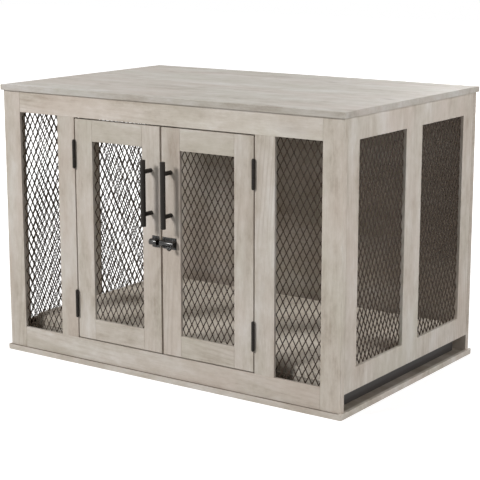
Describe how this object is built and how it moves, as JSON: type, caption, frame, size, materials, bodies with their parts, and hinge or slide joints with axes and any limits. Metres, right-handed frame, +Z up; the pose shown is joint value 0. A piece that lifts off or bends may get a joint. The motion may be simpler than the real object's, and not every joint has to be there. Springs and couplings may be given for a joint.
{
  "type": "dog crate end table",
  "caption": "Wooden end table over a dog crate: netted windows, double front doors with pull handles and a barrel bolt, a slide-out tray and a cushion.",
  "frame": {"origin": "centre of the underside of the base board, on the floor", "axes": "+X to the right as one faces the doors, -Y out of the doors towards the viewer, +Z up"},
  "size_m": [0.95, 0.64, 0.65],
  "materials": {
    "weathered_wood": "matt weathered greige wood grain on board",
    "black_net": "satin black powder coat on expanded sheet",
    "black_steel": "satin black powder coat",
    "black_screw": "black oxide",
    "cam_metal": "zinc-grey casting",
    "dowel_wood": "bare fluted beech",
    "catch_plastic": "moulded black",
    "bare_steel": "plain zinc-plated strip",
    "cushion_cloth": "brushed greige plush",
    "tray_plastic": "dark grey fine-grain moulding"
  },
  "bodies": {
    "carcass": {"tabletop": "weathered_wood", "base_board": "weathered_wood", "back_panel": "weathered_wood", "left_side_panel": "weathered_wood", "right_side_panel": "weathered_wood", "front_left_stile": "weathered_wood", "front_right_stile": "weathered_wood", "front_bottom_rail": "weathered_wood", "front_top_rail": "weathered_wood", "front_left_mullion": "weathered_wood", "front_right_mullion": "weathered_wood", "front_left_net": "black_net", "front_right_net": "black_net", "left_side_front_net": "black_net", "left_side_rear_net": "black_net", "right_side_front_net": "black_net", "right_side_rear_net": "black_net", "frame_pan_screws": "black_screw", "hinge_frame_screws": "black_screw", "cam_locks": "cam_metal", "cam_bolts": "cam_metal", "frame_dowels": "dowel_wood", "hinge_frame_leaves": "black_steel", "hinge_pins": "black_steel", "door_catch": "catch_plastic", "cushion": "cushion_cloth"},
    "left_door": {"left_door_hinge_stile": "weathered_wood", "left_door_lock_stile": "weathered_wood", "left_door_bottom_rail": "weathered_wood", "left_door_top_rail": "weathered_wood", "left_door_net": "black_net", "left_door_net_screws": "black_screw", "left_door_hinge_screws": "black_screw", "left_door_plate_screws": "black_screw", "left_handle_screws": "black_screw", "left_door_dowels": "dowel_wood", "left_door_hinge_leaves": "black_steel", "left_handle_rod": "black_steel", "left_handle_posts": "black_steel", "left_door_strike": "bare_steel", "bolt_keeper": "black_steel"},
    "right_door": {"right_door_hinge_stile": "weathered_wood", "right_door_lock_stile": "weathered_wood", "right_door_bottom_rail": "weathered_wood", "right_door_top_rail": "weathered_wood", "right_door_net": "black_net", "right_door_net_screws": "black_screw", "right_door_hinge_screws": "black_screw", "right_door_plate_screws": "black_screw", "right_handle_screws": "black_screw", "right_door_dowels": "dowel_wood", "right_door_hinge_leaves": "black_steel", "right_handle_rod": "black_steel", "right_handle_posts": "black_steel", "right_door_strike": "bare_steel", "bolt_barrel": "black_steel"},
    "latch_bolt": {"bolt_rod": "black_steel", "bolt_knob": "black_steel"},
    "tray": {"tray": "tray_plastic"}
  },
  "joints": [
    {"name": "left_door_hinge", "type": "hinge", "parent": "carcass", "child": "left_door", "pos_m": [-0.2505, -0.304, 0.325], "axis": [0, 0, -1], "range_deg": [0, 165]},
    {"name": "right_door_hinge", "type": "hinge", "parent": "carcass", "child": "right_door", "pos_m": [0.2505, -0.304, 0.325], "axis": [0, 0, 1], "range_deg": [0, 165]},
    {"name": "bolt_slide", "type": "slide", "parent": "right_door", "child": "latch_bolt", "axis": [-1, 0, 0], "range_m": [0, 0.02]},
    {"name": "tray_slide", "type": "slide", "parent": "carcass", "child": "tray", "axis": [1, 0, 0], "range_m": [0, 0.85]}
  ]
}
